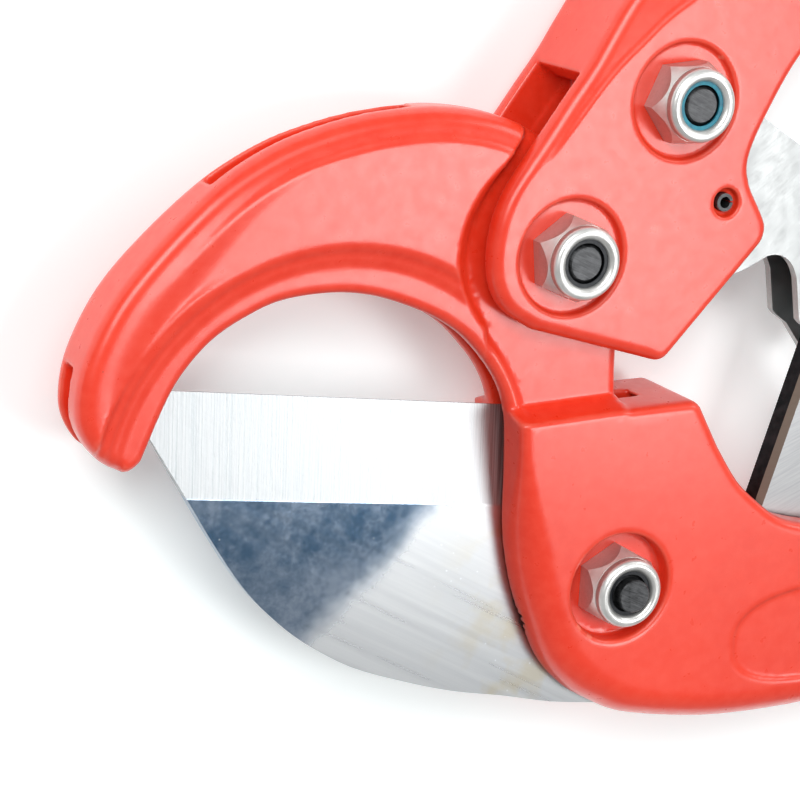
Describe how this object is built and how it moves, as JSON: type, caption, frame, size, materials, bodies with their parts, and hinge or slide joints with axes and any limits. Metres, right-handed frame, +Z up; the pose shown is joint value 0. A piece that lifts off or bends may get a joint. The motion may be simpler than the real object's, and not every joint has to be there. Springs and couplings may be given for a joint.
{
  "type": "pvc pipe cutter",
  "caption": "Two-handed ratcheting cutter for plastic pipe: slotted hook jaw, pivoting blade with toothed sector, sprung pawl in a forked upper handle, long gripped handles.",
  "frame": {"origin": "centre of the flat head of the bolt the upper handle turns on, on the face the cutter lies on", "axes": "+X from the hook jaw towards the handles, +Y from the lower handle towards the upper handle, +Z up out of the face it lies on, towards the lock nuts"},
  "size_m": [0.3462, 0.222, 0.0279],
  "materials": {
    "red_paint": "gloss",
    "blade_steel": "polished",
    "sector_steel": "ground",
    "zinc_plate": "satin",
    "dark_steel": "black oxide",
    "teal_nylon": "satin",
    "dark_nylon": "satin",
    "bush_steel": "satin",
    "black_grip": "matte"
  },
  "bodies": {
    "frame": {"frame_casting": "red_paint", "lower_grip": "black_grip", "handle_bolt": "dark_steel", "handle_nut": "zinc_plate", "handle_nut_insert": "dark_nylon", "handle_bush": "bush_steel", "handle_washers": "bush_steel", "blade_bolt": "dark_steel", "blade_nut": "zinc_plate", "blade_nut_insert": "dark_nylon", "blade_bush": "bush_steel", "blade_washers": "bush_steel"},
    "handle": {"upper_handle": "red_paint", "upper_grip": "black_grip", "pawl_bolt": "dark_steel", "pawl_nut": "zinc_plate", "pawl_nut_insert": "teal_nylon", "roll_pin": "dark_steel", "pawl_spring": "dark_steel"},
    "blade": {"blade": "blade_steel", "ratchet_sector": "sector_steel", "sector_rivets": "zinc_plate"},
    "pawl_sleeve": {"pawl_bush": "bush_steel"},
    "pawl": {"pawl": "zinc_plate", "pawl_nose_pin": "bush_steel"}
  },
  "joints": [
    {"name": "handle_squeeze", "type": "hinge", "parent": "frame", "child": "handle", "pos_m": [0, 0, 0.0128], "axis": [0, 0, 1], "range_deg": [-19, 2]},
    {"name": "blade_swing", "type": "hinge", "parent": "frame", "child": "blade", "pos_m": [0.0109, -0.0581, 0.0128], "axis": [0, 0, 1], "range_deg": [-24, 42]},
    {"name": "pawl_follow", "type": "hinge", "parent": "handle", "child": "pawl_sleeve", "pos_m": [0.0203, 0.0237, 0.0128], "axis": [0, 0, 1], "range_deg": [-2, 18.2]},
    {"name": "pawl_release", "type": "hinge", "parent": "pawl_sleeve", "child": "pawl", "pos_m": [0.0203, 0.0237, 0.0128], "axis": [0, 0, 1], "range_deg": [0, 10]}
  ],
  "couplings": [
    {"joint": "pawl_follow", "follows": "handle_squeeze", "ratio": -0.95}
  ]
}
